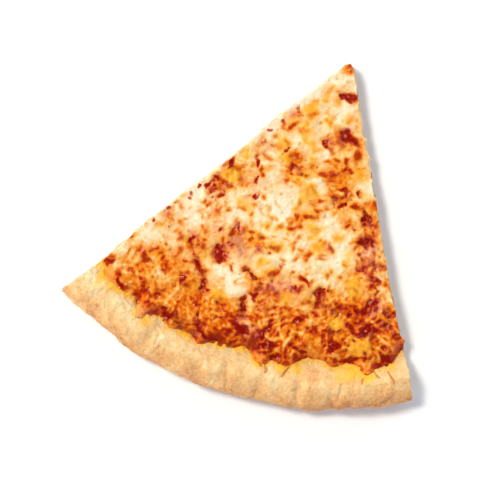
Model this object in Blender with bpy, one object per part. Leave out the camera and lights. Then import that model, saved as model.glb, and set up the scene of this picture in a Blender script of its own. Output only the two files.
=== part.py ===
"""A slice of cheese pizza, one sixth of a round, as the three solids that lie on each other:
the baked crust with its puffed rim, the tomato sauce spread on it, and the melted cheese on top.

Lengths are in metres. The slice lies flat, +Z up, with its tip towards +Y and its rim towards -Y, and the
origin is under the middle of its box. A place on the slice is (r, v): r is the distance from the apex, the
point where the two straight cuts would meet, and v runs across, from -1 at the left cut to +1 at the right.
"""

import math

import bmesh
import bpy
from mathutils import Vector, noise

MM = 0.001

# The cut: one sixth of a 30 cm pizza, not quite through its middle, so one side is longer
HALF_ANGLE = math.radians(30.65)
APEX = (2.74 * MM, 78.42 * MM)
RADIUS = 153.8 * MM
RADIUS_SKEW = 5.1 * MM
RADIUS_FLARE = 1.1 * MM
TIP_SETBACK = 2.4 * MM
TIP_ROUNDING = 1.9 * MM
CUT_WOBBLE = 0.5 * MM

# The crust: a thin base, and a rim that puffed up around it
BASE_AT_TIP = 4.6 * MM
BASE_AT_RIM = 6.2 * MM
RIM_WIDTH = 21.5 * MM
RIM_CREST = 10.0 * MM
RIM_HEIGHT = 16.0 * MM
WAIST = 6.0 * MM
UNDER_EDGE = 5.5 * MM
RIM_LUMP = 1.7 * MM
END_PINCH = 0.16
END_PINCH_REACH = 9.0 * MM

# Where the rim is folded in: (v, how deep, how wide)
CREASES = (
    (-0.50, 1.3 * MM, 2.6 * MM),
    (-0.05, 1.6 * MM, 2.2 * MM),
    (0.16, 0.9 * MM, 2.4 * MM),
    (0.37, 1.5 * MM, 2.0 * MM),
    (0.56, 1.0 * MM, 1.8 * MM),
)

# The layers on the base, a gap apart and an inset inside both cuts
GAP = 0.35 * MM
LAYER_INSET = 0.35 * MM
SAUCE = 1.1 * MM
SAUCE_LIP = 0.3 * MM
CHEESE = 2.3 * MM
CHEESE_LIP = 0.55 * MM
CHEESE_RELIEF = 1.0 * MM
BARE_RIM = 18.3 * MM
LIP_REACH = 7.5 * MM

# Where the edge of the cheese runs out onto the rim, or below zero draws back in a bay:
# (v, how far, half width in v)
TONGUES = (
    (-0.86, 1.8 * MM, 0.060),
    (-0.63, 5.8 * MM, 0.045),
    (-0.44, 1.8 * MM, 0.045),
    (-0.24, 1.4 * MM, 0.060),
    (0.00, -2.4 * MM, 0.050),
    (0.13, 2.8 * MM, 0.055),
    (0.28, 1.6 * MM, 0.045),
    (0.41, -5.4 * MM, 0.085),
    (0.61, -1.0 * MM, 0.100),
    (0.76, 3.4 * MM, 0.060),
    (0.88, 1.4 * MM, 0.060),
)

# Gaps in the cheese that show the sauce: (r, v, length, width, turn from the slice's length in degrees)
SAUCE_WINDOWS = (
    (17.5 * MM, 0.45, 5.5 * MM, 3.6 * MM, 35),
    (34.0 * MM, 0.66, 9.0 * MM, 2.6 * MM, 63),
    (70.5 * MM, 0.85, 5.0 * MM, 3.0 * MM, -30),
    (78.5 * MM, 0.84, 5.0 * MM, 3.2 * MM, 40),
    (101.5 * MM, -0.43, 6.5 * MM, 4.8 * MM, 70),
    (102.5 * MM, -0.18, 7.0 * MM, 2.2 * MM, 80),
    (104.5 * MM, 0.40, 8.0 * MM, 4.4 * MM, -15),
    (106.0 * MM, 0.80, 9.0 * MM, 3.6 * MM, -50),
    (113.5 * MM, -0.47, 12.0 * MM, 2.6 * MM, 48),
    (116.0 * MM, -0.10, 7.5 * MM, 2.4 * MM, 30),
    (116.5 * MM, 0.80, 10.0 * MM, 3.4 * MM, -73),
)
WINDOW_SIDES = 10
WINDOW_DEPTH = 8.0 * MM
WINDOW_FLARE = 1.24

# Gentle unevenness: the height of each wave, how fast it turns with v, and where it starts
OUTER_WAVES = ((0.37 * MM, 7.0, -2.15), (0.30 * MM, 13.5, 2.5))
CHEESE_WAVES = ((0.4 * MM, 23.0, 1.0),)
# Where the cheese draws back from the rim towards each cut: (v where it begins, how far at the cut)
DRAWN_BACK = ((0.93, 4.0 * MM), (-0.89, 3.4 * MM))
WOBBLE_LENGTH = 11.0 * MM
WOBBLE_FADE = 20.0 * MM

# The size of each surface's lumps, and the seed that tells one surface's lumps from another's
RIM_LUMP_SIZE, RIM_SEED = 16.0 * MM, 3.7
BASE_LUMP_SIZE, BASE_SEED = 22.0 * MM, 9.1
SAUCE_LUMP_SIZE, SAUCE_SEED = 12.0 * MM, 5.5
CHEESE_LUMP_SIZE, CHEESE_SEED = 9.0 * MM, 1.3
SHRED_LUMP_SIZE, SHRED_SEED = 5.0 * MM, 8.2
BASE_LUMP = 0.25 * MM
SAUCE_RELIEF = 0.12 * MM

# How finely the surfaces are cut into rows and columns
CRUST_STEP = 4.8 * MM
LAYER_STEP = 4.5 * MM
CLIMB_STEP = 1.9 * MM
FOOT_FLAT = 7.5 * MM
CLIMB_ROWS = 6
SLOPE_ROWS = 9
FLANK_ROWS = 8
SHARP_ANGLE = math.radians(50)
SAME_POINT = 1e-7


def waves(table, v):
    return sum(height * math.sin(turns * v + start) for height, turns, start in table)


def outer_radius(v):
    """The slice's reach at v, along its outer edge."""
    return RADIUS - RADIUS_SKEW * v + RADIUS_FLARE * v * v + waves(OUTER_WAVES, v)


def tip_radius(v):
    """Where the slice begins at v: the tip is rounded, and not a point."""
    return TIP_SETBACK + TIP_ROUNDING * v * v


def place(r, v, inset=0.0):
    """(x, y) of a place on the slice. inset keeps it that far inside both cuts."""
    width = r * HALF_ANGLE
    wobble = CUT_WOBBLE * math.sin(r / WOBBLE_LENGTH + 2.0 * v) * min(1.0, r / WOBBLE_FADE)
    angle = v * (width - inset) / r + abs(v) * v * wobble / r
    return APEX[0] + r * math.sin(angle), APEX[1] - r * math.cos(angle)


def smooth_step(t):
    t = min(1.0, max(0.0, t))
    return t * t * (3.0 - 2.0 * t)


def lumps(x, y, size, seed):
    """Soft unevenness from -1 to 1, whose lumps are about size across."""
    return noise.noise(Vector((x / size, y / size, seed)))


def rim_crest_height(r, v):
    """The height of the rim's crest: lumpy, folded at the creases, and pressed down at the cuts."""
    x, y = place(r, v)
    arc = outer_radius(v) * HALF_ANGLE
    height = RIM_HEIGHT + RIM_LUMP * lumps(x, y, RIM_LUMP_SIZE, RIM_SEED)
    for at, depth, width in CREASES:
        height -= depth * math.exp(-(((v - at) * arc / width) ** 2))
    from_cut = (1.0 - abs(v)) * arc
    return height * (1.0 - END_PINCH * (1.0 - smooth_step(from_cut / END_PINCH_REACH)))


def base_top(r, v):
    x, y = place(r, v)
    along = r / (RADIUS - RIM_WIDTH)
    level = BASE_AT_TIP + (BASE_AT_RIM - BASE_AT_TIP) * along
    return level + BASE_LUMP * lumps(x, y, BASE_LUMP_SIZE, BASE_SEED)


def crust_top(r, v):
    """The crust's upper surface: the rim's outer flank, its inner slope, then the base."""
    inside = outer_radius(v) - r
    base = base_top(r, v)
    if inside >= RIM_WIDTH:
        return base
    crest = rim_crest_height(r, v)
    if inside < RIM_CREST:
        share = math.sqrt(max(0.0, 1.0 - (1.0 - inside / RIM_CREST) ** 2))
        return WAIST + (crest - WAIST) * share
    slope = 0.5 + 0.5 * math.cos(math.pi * (inside - RIM_CREST) / (RIM_WIDTH - RIM_CREST))
    return base + (crest - base) * slope


def crust_bottom(r, v):
    """Flat where the slice lies, and turned up under the rim's outer edge."""
    inside = outer_radius(v) - r
    if inside >= UNDER_EDGE:
        return 0.0
    return WAIST * (1.0 - math.sqrt(max(0.0, 1.0 - (1.0 - inside / UNDER_EDGE) ** 2)))


def cheese_reach(v):
    """Where the cheese ends on the rim's inner slope. It draws back at the cuts, and has tongues and bays."""
    reach = outer_radius(v) - BARE_RIM + waves(CHEESE_WAVES, v)
    for start, length in DRAWN_BACK:
        reach -= length * smooth_step((v - start) / (math.copysign(1.0, start) - start))
    for at, length, width in TONGUES:
        reach += length * math.exp(-(((v - at) / width) ** 2))
    return reach


def foot_radius(v):
    """Where the rows that climb the rim's slope begin."""
    return outer_radius(v) - RIM_WIDTH - FOOT_FLAT


def sauce_reach(v):
    """The sauce ends one row short of the cheese, under its lip."""
    share = (CLIMB_ROWS - 2) / (CLIMB_ROWS - 1)
    return (1.0 - share) * foot_radius(v) + share * cheese_reach(v)


def sauce_thickness(r, v):
    x, y = place(r, v)
    from_lip = smooth_step((sauce_reach(v) - r) / LIP_REACH)
    full = SAUCE + SAUCE_RELIEF * lumps(x, y, SAUCE_LUMP_SIZE, SAUCE_SEED)
    return SAUCE_LIP + (full - SAUCE_LIP) * from_lip


def sauce_bottom(r, v):
    return crust_top(r, v) + GAP


def sauce_top(r, v):
    return sauce_bottom(r, v) + sauce_thickness(r, v)


def cheese_bottom(r, v):
    return sauce_top(r, v) + GAP


def cheese_top(r, v):
    x, y = place(r, v)
    relief = lumps(x, y, CHEESE_LUMP_SIZE, CHEESE_SEED) + 0.5 * lumps(x, y, SHRED_LUMP_SIZE, SHRED_SEED)
    from_lip = smooth_step((cheese_reach(v) - r) / LIP_REACH)
    thickness = CHEESE_LIP + (CHEESE - CHEESE_LIP + CHEESE_RELIEF * relief) * from_lip
    return cheese_bottom(r, v) + thickness


def shares(count):
    return [i / (count - 1) for i in range(count)]


def columns_at(r, step):
    return max(3, round(2.0 * r * HALF_ANGLE / step))


def between(near, far, share):
    """The row that is this share of the way from one row to another."""
    return lambda v: (1.0 - share) * near(v) + share * far(v)


def inside_rim(depth):
    """The row that is this far inside the outer edge."""
    return lambda v: outer_radius(v) - depth


def crust_rows():
    """Rows across the slice, each with how many columns it has and its r at v: even along the base,
    and closer around the rim."""
    rows = []
    for share in shares(round((RADIUS - RIM_WIDTH) / CRUST_STEP)):
        columns = columns_at(share * (RADIUS - RIM_WIDTH), CRUST_STEP)
        rows.append((columns, between(tip_radius, inside_rim(RIM_WIDTH), share)))
    depths = [RIM_WIDTH + (RIM_CREST - RIM_WIDTH) * share for share in shares(SLOPE_ROWS)[1:-1]]
    depths += [RIM_CREST * (1.0 - math.sin(0.5 * math.pi * share)) for share in shares(FLANK_ROWS)]
    for depth in depths:
        rows.append((columns_at(RADIUS - depth, CRUST_STEP), inside_rim(depth)))
    return rows


def layer_rows():
    """Even rows from the tip to the foot of the rim, and closer ones up its slope to where the cheese ends.
    Both layers have the same rows and columns, so that their surfaces stay a gap apart."""

    def start(v):
        return tip_radius(v) + LAYER_INSET

    foot = RADIUS - RIM_WIDTH - FOOT_FLAT
    rows = []
    for share in shares(round(foot / LAYER_STEP) + 1):
        rows.append((columns_at(share * foot, LAYER_STEP), between(start, foot_radius, share)))
    for share in shares(CLIMB_ROWS)[1:]:
        rows.append((columns_at(foot, CLIMB_STEP), between(foot_radius, cheese_reach, share)))
    return rows


def zip_rows(first, second):
    """The triangles between two rows of (v, point), which may hold different numbers of points."""
    triangles = []
    i, j = 0, 0
    while i + 1 < len(first) or j + 1 < len(second):
        next_first = first[i + 1][0] if i + 1 < len(first) else math.inf
        next_second = second[j + 1][0] if j + 1 < len(second) else math.inf
        if next_first <= next_second:
            triangles.append((first[i][1], second[j][1], first[i + 1][1]))
            i += 1
        else:
            triangles.append((first[i][1], second[j][1], second[j + 1][1]))
            j += 1
    return triangles


def surface(mesh, rows, height, inset):
    """A sheet of points at height(r, v) with its triangles. Returns the loop of points around it."""
    made = []
    for columns, row in rows:
        points = []
        for i in range(columns + 1):
            v = 2.0 * i / columns - 1.0
            x, y = place(row(v), v, inset)
            points.append((v, mesh.verts.new((x, y, height(row(v), v)))))
        made.append(points)
    for first, second in zip(made, made[1:]):
        for corners in zip_rows(first, second):
            mesh.faces.new(corners)
    left = [row[0][1] for row in made]
    right = [row[-1][1] for row in made]
    far = [point for _, point in made[-1]]
    near = [point for _, point in made[0]]
    return left + far[1:-1] + right[::-1] + near[-2:0:-1]


def slab(name, rows, bottom, top, inset, material):
    """A closed solid between two heights, with walls at the cuts and wherever its ends have a thickness."""
    mesh = bmesh.new()
    lower = surface(mesh, rows, bottom, inset)
    upper = surface(mesh, rows, top, inset)
    for i, corner in enumerate(lower):
        following = (i + 1) % len(lower)
        mesh.faces.new((corner, lower[following], upper[following], upper[i]))
    bmesh.ops.remove_doubles(mesh, verts=mesh.verts, dist=SAME_POINT)
    bmesh.ops.dissolve_degenerate(mesh, edges=mesh.edges, dist=SAME_POINT)
    bmesh.ops.triangulate(mesh, faces=[face for face in mesh.faces if len(face.verts) > 3])
    bmesh.ops.recalc_face_normals(mesh, faces=mesh.faces)
    data = bpy.data.meshes.new(name)
    mesh.to_mesh(data)
    mesh.free()
    data.shade_smooth()
    data.set_sharp_from_angle(angle=SHARP_ANGLE)
    data.materials.append(material)
    obj = bpy.data.objects.new(name, data)
    bpy.context.scene.collection.objects.link(obj)
    return obj


def make_material(name, colour, roughness):
    material = bpy.data.materials.new(name)
    material.use_nodes = True
    shader = material.node_tree.nodes["Principled BSDF"]
    shader.inputs["Base Color"].default_value = (*colour, 1.0)
    shader.inputs["Roughness"].default_value = roughness
    shader.inputs["Metallic"].default_value = 0.0
    return material


def make_window_cutter():
    """One mesh of upright oval plugs, a plug for each gap in the cheese."""
    mesh = bmesh.new()
    for r, v, length, width, turn in SAUCE_WINDOWS:
        x, y = place(r, v)
        middle = 0.5 * (cheese_bottom(r, v) + cheese_top(r, v))
        made = bmesh.ops.create_cone(
            mesh,
            cap_ends=True,
            segments=WINDOW_SIDES,
            radius1=0.5,
            radius2=0.5 * WINDOW_FLARE,
            depth=WINDOW_DEPTH,
        )
        plug = made["verts"]
        bmesh.ops.scale(mesh, verts=plug, vec=(width, length, 1.0))
        spin = math.radians(turn) + v * HALF_ANGLE
        cos, sin = math.cos(spin), math.sin(spin)
        for point in plug:
            px, py, pz = point.co
            point.co = Vector((x + px * cos - py * sin, y + px * sin + py * cos, middle + pz))
    bmesh.ops.recalc_face_normals(mesh, faces=mesh.faces)
    data = bpy.data.meshes.new("window_cutter")
    mesh.to_mesh(data)
    mesh.free()
    cutter = bpy.data.objects.new("window_cutter", data)
    bpy.context.scene.collection.objects.link(cutter)
    cutter.hide_render = True
    cutter.display_type = "WIRE"
    return cutter


def make_crust():
    baked_dough = make_material("baked_dough", (0.83, 0.60, 0.33), 0.8)
    return slab("crust", crust_rows(), crust_bottom, crust_top, 0.0, baked_dough)


def make_sauce():
    tomato = make_material("tomato_sauce", (0.48, 0.04, 0.02), 0.35)
    return slab("sauce", layer_rows()[:-1], sauce_bottom, sauce_top, LAYER_INSET, tomato)


def make_cheese():
    """The blanket of cheese, with its gaps cut right through to the sauce."""
    melted = make_material("melted_cheese", (0.90, 0.62, 0.28), 0.45)
    cheese = slab("cheese", layer_rows(), cheese_bottom, cheese_top, LAYER_INSET, melted)
    cut = cheese.modifiers.new("sauce_windows", "BOOLEAN")
    cut.operation = "DIFFERENCE"
    cut.object = make_window_cutter()
    return cheese


def main():
    for obj in list(bpy.data.objects):
        bpy.data.objects.remove(obj)
    make_crust()
    make_sauce()
    make_cheese()


main()
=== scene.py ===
"""The look of a slice of cheese pizza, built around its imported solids: a puffed crust, wet tomato sauce,
and a blanket of melted shredded cheese that browned in the oven.

Lengths are in metres. A place on the slice is (r, v): r is the distance from the apex, the point where the
two straight cuts would meet, and v runs across, from -1 at the left cut to +1 at the right.
"""
import math

import bmesh
import bpy
import numpy as np
from mathutils import Matrix, Vector, noise


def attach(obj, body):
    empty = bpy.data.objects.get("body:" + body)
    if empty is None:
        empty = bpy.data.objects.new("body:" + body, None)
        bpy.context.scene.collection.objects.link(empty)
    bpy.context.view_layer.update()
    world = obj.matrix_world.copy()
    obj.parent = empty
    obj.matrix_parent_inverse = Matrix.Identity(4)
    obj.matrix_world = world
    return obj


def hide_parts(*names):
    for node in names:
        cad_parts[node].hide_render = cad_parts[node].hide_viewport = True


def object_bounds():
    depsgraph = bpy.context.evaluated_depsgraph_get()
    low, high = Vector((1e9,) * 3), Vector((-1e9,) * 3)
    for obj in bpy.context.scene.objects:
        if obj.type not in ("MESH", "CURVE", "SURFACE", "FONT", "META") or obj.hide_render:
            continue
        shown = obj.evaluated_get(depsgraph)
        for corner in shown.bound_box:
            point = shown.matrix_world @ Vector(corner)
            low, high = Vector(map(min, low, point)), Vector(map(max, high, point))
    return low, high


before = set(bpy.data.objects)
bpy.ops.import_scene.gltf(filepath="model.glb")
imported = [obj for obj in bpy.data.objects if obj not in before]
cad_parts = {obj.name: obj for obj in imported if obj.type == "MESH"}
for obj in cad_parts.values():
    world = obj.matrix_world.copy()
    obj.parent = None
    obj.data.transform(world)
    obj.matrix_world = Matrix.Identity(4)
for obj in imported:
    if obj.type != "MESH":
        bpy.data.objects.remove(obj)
CAD_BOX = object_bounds()

MM = 0.001

# ---- The slice's form, the same as its solids ----

HALF_ANGLE = math.radians(30.65)
APEX = (2.74 * MM, 78.42 * MM)
RADIUS = 153.8 * MM
RADIUS_SKEW = 5.1 * MM
RADIUS_FLARE = 1.1 * MM
OUTER_WAVES = ((0.37 * MM, 7.0, -2.15), (0.30 * MM, 13.5, 2.5))
TIP_SETBACK = 2.4 * MM
TIP_ROUNDING = 1.9 * MM
CUT_WOBBLE = 0.5 * MM
WOBBLE_LENGTH = 11.0 * MM
WOBBLE_FADE = 20.0 * MM

BASE_AT_TIP = 4.6 * MM
BASE_AT_RIM = 6.2 * MM
RIM_WIDTH = 21.5 * MM
RIM_CREST = 10.0 * MM
RIM_HEIGHT = 16.0 * MM
RIM_LUMP = 1.7 * MM
WAIST = 6.0 * MM
UNDER_EDGE = 5.5 * MM
END_PINCH = 0.16
END_PINCH_REACH = 9.0 * MM
CREASES = (
    (-0.50, 1.3 * MM, 2.6 * MM),
    (-0.05, 1.6 * MM, 2.2 * MM),
    (0.16, 0.9 * MM, 2.4 * MM),
    (0.37, 1.5 * MM, 2.0 * MM),
    (0.56, 1.0 * MM, 1.8 * MM),
)

BARE_RIM = 18.3 * MM
CHEESE_WAVES = ((0.4 * MM, 23.0, 1.0),)
DRAWN_BACK = ((0.93, 4.0 * MM), (-0.89, 3.4 * MM))
TONGUES = (
    (-0.86, 1.8 * MM, 0.060),
    (-0.63, 5.8 * MM, 0.045),
    (-0.44, 1.8 * MM, 0.045),
    (-0.24, 1.4 * MM, 0.060),
    (0.00, -2.4 * MM, 0.050),
    (0.13, 2.8 * MM, 0.055),
    (0.28, 1.6 * MM, 0.045),
    (0.41, -5.4 * MM, 0.085),
    (0.61, -1.0 * MM, 0.100),
    (0.76, 3.4 * MM, 0.060),
    (0.88, 1.4 * MM, 0.060),
)
SAUCE = 1.6 * MM
SAUCE_LIP = 0.35 * MM
CHEESE = 2.3 * MM
CHEESE_LIP = 0.7 * MM
LIP_REACH = 7.5 * MM
LAYER_INSET = 0.55 * MM
RIGHT_BOW = 1.0 * MM
BOW_AT = 64.0 * MM
BOW_LENGTH = 26.0 * MM

# ---- What lies where ----

def ovals(*rows):
    """Rows of (r, v, length, width, turn in degrees, strength), with their lengths given in millimetres."""
    return [(r * MM, v, length * MM, width * MM, turn, strong) for r, v, length, width, turn, strong in rows]


# Gaps in the cheese, open to the sauce
SAUCE_WINDOWS = ovals(
    (16.8, 0.45, 5, 3.4, 35, 1.0),
    (33.4, 0.58, 9.5, 2.4, 70, 1.0),
    (36.5, 0.84, 5, 2, 0, 0.9),
    (69.6, 0.86, 6.5, 4.8, -30, 0.95),
    (78.8, 0.84, 6, 5.4, 40, 0.9),
    (100.8, -0.43, 8.5, 5.8, 50, 1.0),
    (102.6, -0.17, 7, 2.4, 80, 1.0),
    (104.3, 0.41, 9, 5.4, -15, 1.0),
    (110.6, -0.51, 8.5, 2.7, 62, 1.0),
    (116, -0.41, 8, 2.7, 15, 1.0),
    (115.8, -0.1, 8.5, 3.6, 20, 1.0),
    (114.4, 0.92, 6, 4, 0, 0.8),
)
# Thin places, where the sauce colours the cheese
STAINED = ovals(
    (38.5, 0.13, 4, 3.4, 60, 0.8),
    (48.5, -0.5, 3.4, 2.4, 20, 1.0),
    (55, 0.6, 3.4, 3.4, 0, 0.9),
    (58, 0.82, 4, 2, 0, 0.8),
    (53.5, -0.24, 7, 4.4, 30, 0.8),
    (63, 0.55, 3.6, 2.4, 80, 0.7),
    (60, -0.74, 4, 3, 0, 0.8),
    (66, -0.62, 6, 2.2, 0, 0.8),
    (69, -0.92, 5, 3.4, 0, 0.9),
    (80, -0.89, 8, 6.4, 0, 0.66),
    (82, -0.76, 5, 2.6, 10, 0.8),
    (83.5, -0.92, 4, 3, 0, 0.9),
    (72.5, -0.5, 7, 2.6, -10, 0.66),
    (88.5, -0.46, 5, 5, 0, 0.7),
    (92, -0.53, 5, 2, 0, 0.8),
    (90, -0.08, 4, 2, 60, 0.7),
    (95.6, 0.9, 3.8, 2, 0, 1.0),
    (98.4, 0.28, 3.6, 2.6, 60, 1.0),
    (101.5, 0.2, 3, 3, 0, 0.8),
    (104, -0.69, 4, 4, 0, 0.8),
    (106.7, 0.8, 10, 4.6, -58, 1.0),
    (109.5, -0.07, 4.4, 3, 80, 1.0),
    (117.1, 0.78, 11.5, 3.8, -82, 1.0),
    (115, 0.3, 9, 1.8, -77, 0.8),
    (117.5, 0.55, 8, 2, -66, 0.7),
    (120, -0.56, 4.6, 4.6, 0, 0.6),
    (123.2, 0.55, 6, 4.4, -60, 0.8),
    (122.5, 0.1, 11, 4, -25, 0.9),
    (125.8, -0.06, 9, 4.6, 80, 1.0),
    (125.5, -0.24, 9, 2, -70, 0.8),
    (129, 0.13, 10, 3.4, -62, 1.0),
    (128.3, 0.34, 8.5, 2.4, 88, 0.9),
    (131.5, -0.63, 6, 5, 0, 0.7),
    (129.4, 0.68, 14, 1.9, -85, 1.0),
    (129.6, 0.89, 5, 4.6, 0, 0.9),
    (134.3, -0.22, 13, 2.8, 84, 1.0),
    (136, -0.51, 8, 3, -60, 1.0),
    (135.7, -0.96, 6, 2.6, 0, 0.9),
    (139, -0.82, 6, 2.4, 84, 1.0),
)
BROWNED = ovals(
    (36, 0.5, 6, 15, 0, 0.7),
    (54, 0.5, 18, 12, 0, 0.9),
    (64, 0.55, 9, 8, 0, 0.6),
    (53, -0.3, 12, 12, 0, 0.5),
    (68, -0.85, 26, 9, 0, 0.7),
    (84, 0.84, 38, 14, 0, 0.9),
    (89, -0.33, 10, 18, 0, 0.7),
    (89, -0.7, 12, 12, 0, 0.5),
    (103, -0.66, 10, 12, 0, 0.6),
    (105, 0.04, 10, 24, 0, 0.8),
    (98, 0.75, 14, 14, 0, 0.7),
    (127, -0.6, 26, 52, 0, 0.6),
    (133, -0.56, 11, 46, 0, 0.85),
    (118, -0.3, 12, 14, 0, 0.6),
    (126, -0.2, 20, 34, 0, 1.3),
    (124, 0.2, 26, 36, 0, 1.2),
    (118, 0.72, 34, 44, 0, 1.3),
)
PALE = ovals(
    (14, -0.3, 16, 9, 0, 0.7),
    (27, 0.05, 18, 18, 0, 0.8),
    (44, -0.55, 22, 10, 0, 0.4),
    (64, -0.35, 12, 9, 0, 0.5),
    (77, -0.25, 24, 22, 0, 1.0),
    (72, 0.42, 7, 9, 0, 1.0),
    (84, 0.25, 20, 26, 0, 0.5),
    (92, 0.5, 5, 11, 20, 1.0),
    (97, 0.36, 4, 9, 20, 1.0),
    (96, -0.86, 26, 15, 0, 0.65),
    (88, -0.62, 9, 12, 0, 0.6),
    (107, -0.36, 6, 8, 0, 0.8),
    (110, -0.24, 9, 9, 0, 0.9),
)
# Where the sauce's juice turned the cheese pinkish
PINKISH = ovals(
    (92, -0.76, 30, 20, 0, 0.5),
    (92, -0.42, 14, 20, 0, 0.4),
    (56, -0.72, 14, 8, 0, 0.45),
    (68, -0.5, 16, 6, 0, 0.45),
    (40, 0.3, 8, 10, 0, 0.4),
    (94, 0.86, 28, 8, 0, 0.6),
    (104, 0.1, 10, 20, 0, 0.45),
    (121.5, 0.0, 12, 9, 0, 0.6),
)
# Blisters that browned or oiled on their own, given in millimetres: (r, v, size, how brown)
BLISTERS = [(r * MM, v, size * MM, brown) for r, v, size, brown in (
    (22, -0.45, 4, 0.3),
    (27.4, -0.63, 4.4, 0.35),
    (29, 0.1, 4.2, 0.7),
    (34.5, -0.42, 5, 0.45),
    (39, -0.26, 5.6, 0.15),
    (39.5, 0.58, 4.4, 0.75),
    (41, -0.08, 5, 0.5),
    (46.5, -0.63, 4.8, 0.45),
    (46.5, 0.0, 4.2, 0.45),
    (50, 0.84, 6.5, 0.25),
    (51, -0.44, 4.4, 0.2),
    (58, -0.1, 4.4, 0.55),
    (60.7, 0.12, 6.6, 0.4),
    (62, -0.92, 5, 0.15),
    (67.5, 0.0, 4.4, 0.5),
    (72, -0.83, 6.4, 0.1),
    (75.7, 0.28, 6.4, 0.4),
    (77.5, 0.54, 4.6, 0.65),
    (78.1, -0.5, 3.4, 0.2),
    (83, 0.36, 5, 0.5),
    (86.5, 0.62, 4, 0.3),
    (96, -0.1, 5.6, 0.1),
    (98, 0.7, 7, 0.1),
    (107.5, 0.16, 5, 0.1),
    (114.1, 0.56, 6, 0.05),
    (116.7, -0.31, 5.4, 0.1),
    (124, 0.72, 8, 0.05),
)]
BROWN_RINGS = ((54.5 * MM, 0.52, 6.4 * MM), (38.5 * MM, 0.50, 7.0 * MM), (91.0 * MM, -0.28, 5.5 * MM))
SWIRLS = ((121.0 * MM, 0.32), (54.5 * MM, 0.52), (126.0 * MM, -0.24))
# How much darker the cheese is along its outer edge, across the slice
EDGE_BROWN_V = (-1.0, -0.85, -0.60, -0.40, -0.30, -0.05, 0.10, 0.35, 0.45, 0.65, 0.80, 1.0)
EDGE_BROWN = (0.10, 0.26, 0.28, 0.24, 0.32, 0.40, 0.34, 0.25, 0.28, 0.18, 0.34, 0.20)
# Red dots along the left cut
EDGE_DOTS = ovals(*[(r, v, 2.8, 2.2, 0, 1.0) for r, v in (
    (31.0, -0.92), (40.0, -0.89), (45.6, -0.91), (52.6, -0.85), (85.7, -0.97), (92.1, -0.96),
    (98.1, -0.97), (103.2, -0.97), (110.1, -0.975),
)])
# Oil that soaked into the rim
OIL_STAINS = ovals(
    (142, -0.92, 8, 5, 0, 1.0),
    (143, -0.58, 5, 7, 0, 1.0),
    (138, -0.37, 5, 12, 0, 1.0),
    (134, 0.28, 6, 14, 0, 1.0),
    (135, 0.68, 6, 16, 0, 1.0),
)
# How far oil ran onto the rim past the cheese, and how deep its colour is, across the slice
OIL_V = (-1.0, -0.85, -0.75, -0.60, -0.45, -0.20, 0.00, 0.18, 0.28, 0.38, 0.48, 0.62, 0.72, 0.85, 1.0)
OIL_REACH = MM * np.array((5.0, 4.5, 1.5, 1.8, 2.4, 1.6, 2.0, 3.0, 6.0, 3.5, 2.5, 4.0, 6.0, 3.0, 2.5))
OIL_DEPTH = (1.0, 1.0, 0.7, 0.8, 0.9, 0.7, 0.8, 0.9, 1.0, 0.8, 0.5, 0.8, 1.0, 0.8, 0.7)
# Short sharp creases in the rim, given in millimetres: (v, slant in v, nearest r, furthest r, depth)
GROOVES = [(v, slant, near * MM, far * MM, deep * MM) for v, slant, near, far, deep in (
    (-0.02, 0.03, 144.0, 154.0, 0.8),
    (0.60, -0.03, 138.5, 150.0, 0.9),
    (0.56, 0.05, 144.5, 150.5, 0.7),
    (-0.46, 0.02, 142.5, 150.0, 0.7),
    (-0.43, -0.02, 147.0, 155.0, 0.5),
    (0.37, 0.02, 143.0, 151.0, 0.5),
    (0.15, -0.02, 146.0, 153.0, 0.5),
)]
GROOVE_WIDTH = 0.6 * MM
# Browned strings of cheese that lie on the rim: (r, v) at each end
STRINGS = (
    ((134.5 * MM, 0.305), (140.0 * MM, 0.265)),
    ((135.0 * MM, 0.880), (140.5 * MM, 0.905)),
    ((134.5 * MM, 0.800), (137.5 * MM, 0.830)),
    ((137.0 * MM, 0.735), (139.5 * MM, 0.725)),
    ((137.0 * MM, 0.155), (140.0 * MM, 0.165)),
)

SEED = 20
RNG = np.random.default_rng(SEED)


# ---- Numbers on a grid over the slice ----

CELL = 0.35 * MM
MARGIN = 3.0 * MM
GRID_X = np.arange(CAD_BOX[0].x - MARGIN, CAD_BOX[1].x + MARGIN, CELL)
GRID_Y = np.arange(CAD_BOX[0].y - MARGIN, CAD_BOX[1].y + MARGIN, CELL)
GX, GY = np.meshgrid(GRID_X, GRID_Y)


def blur(field, size):
    """field softened by a bell of that size in metres."""
    fy = np.fft.fftfreq(field.shape[0], CELL)[:, None]
    fx = np.fft.rfftfreq(field.shape[1], CELL)[None, :]
    kept = np.exp(-2.0 * (math.pi * size) ** 2 * (fx * fx + fy * fy))
    return np.fft.irfft2(np.fft.rfft2(field) * kept, s=field.shape)


def grain(size):
    """Soft unevenness about 0 with a deviation of 1, whose lumps are about three times size across."""
    made = blur(RNG.standard_normal(GX.shape), size)
    return (made - made.mean()) / made.std()


def curds(size):
    """Rounded blobs of about the same size, where 1 is a blob's middle and -1 a dip between blobs."""
    white = RNG.standard_normal(GX.shape)
    made = blur(white, 0.25 * size) - blur(white, 0.50 * size)
    return np.tanh(1.2 * made / made.std())


def lumps(size, seed):
    """The unevenness that the solids have, from -1 to 1."""
    values = [noise.noise(Vector((x / size, y / size, seed))) for x, y in zip(GX.ravel(), GY.ravel())]
    return np.array(values).reshape(GX.shape)


def sample(field, x, y):
    """field at any places, between its cells."""
    fx = np.clip((x - GRID_X[0]) / CELL, 0.0, field.shape[1] - 1.001)
    fy = np.clip((y - GRID_Y[0]) / CELL, 0.0, field.shape[0] - 1.001)
    ix, iy = fx.astype(int), fy.astype(int)
    tx, ty = fx - ix, fy - iy
    low = field[iy, ix] * (1.0 - tx) + field[iy, ix + 1] * tx
    high = field[iy + 1, ix] * (1.0 - tx) + field[iy + 1, ix + 1] * tx
    return low * (1.0 - ty) + high * ty


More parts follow.
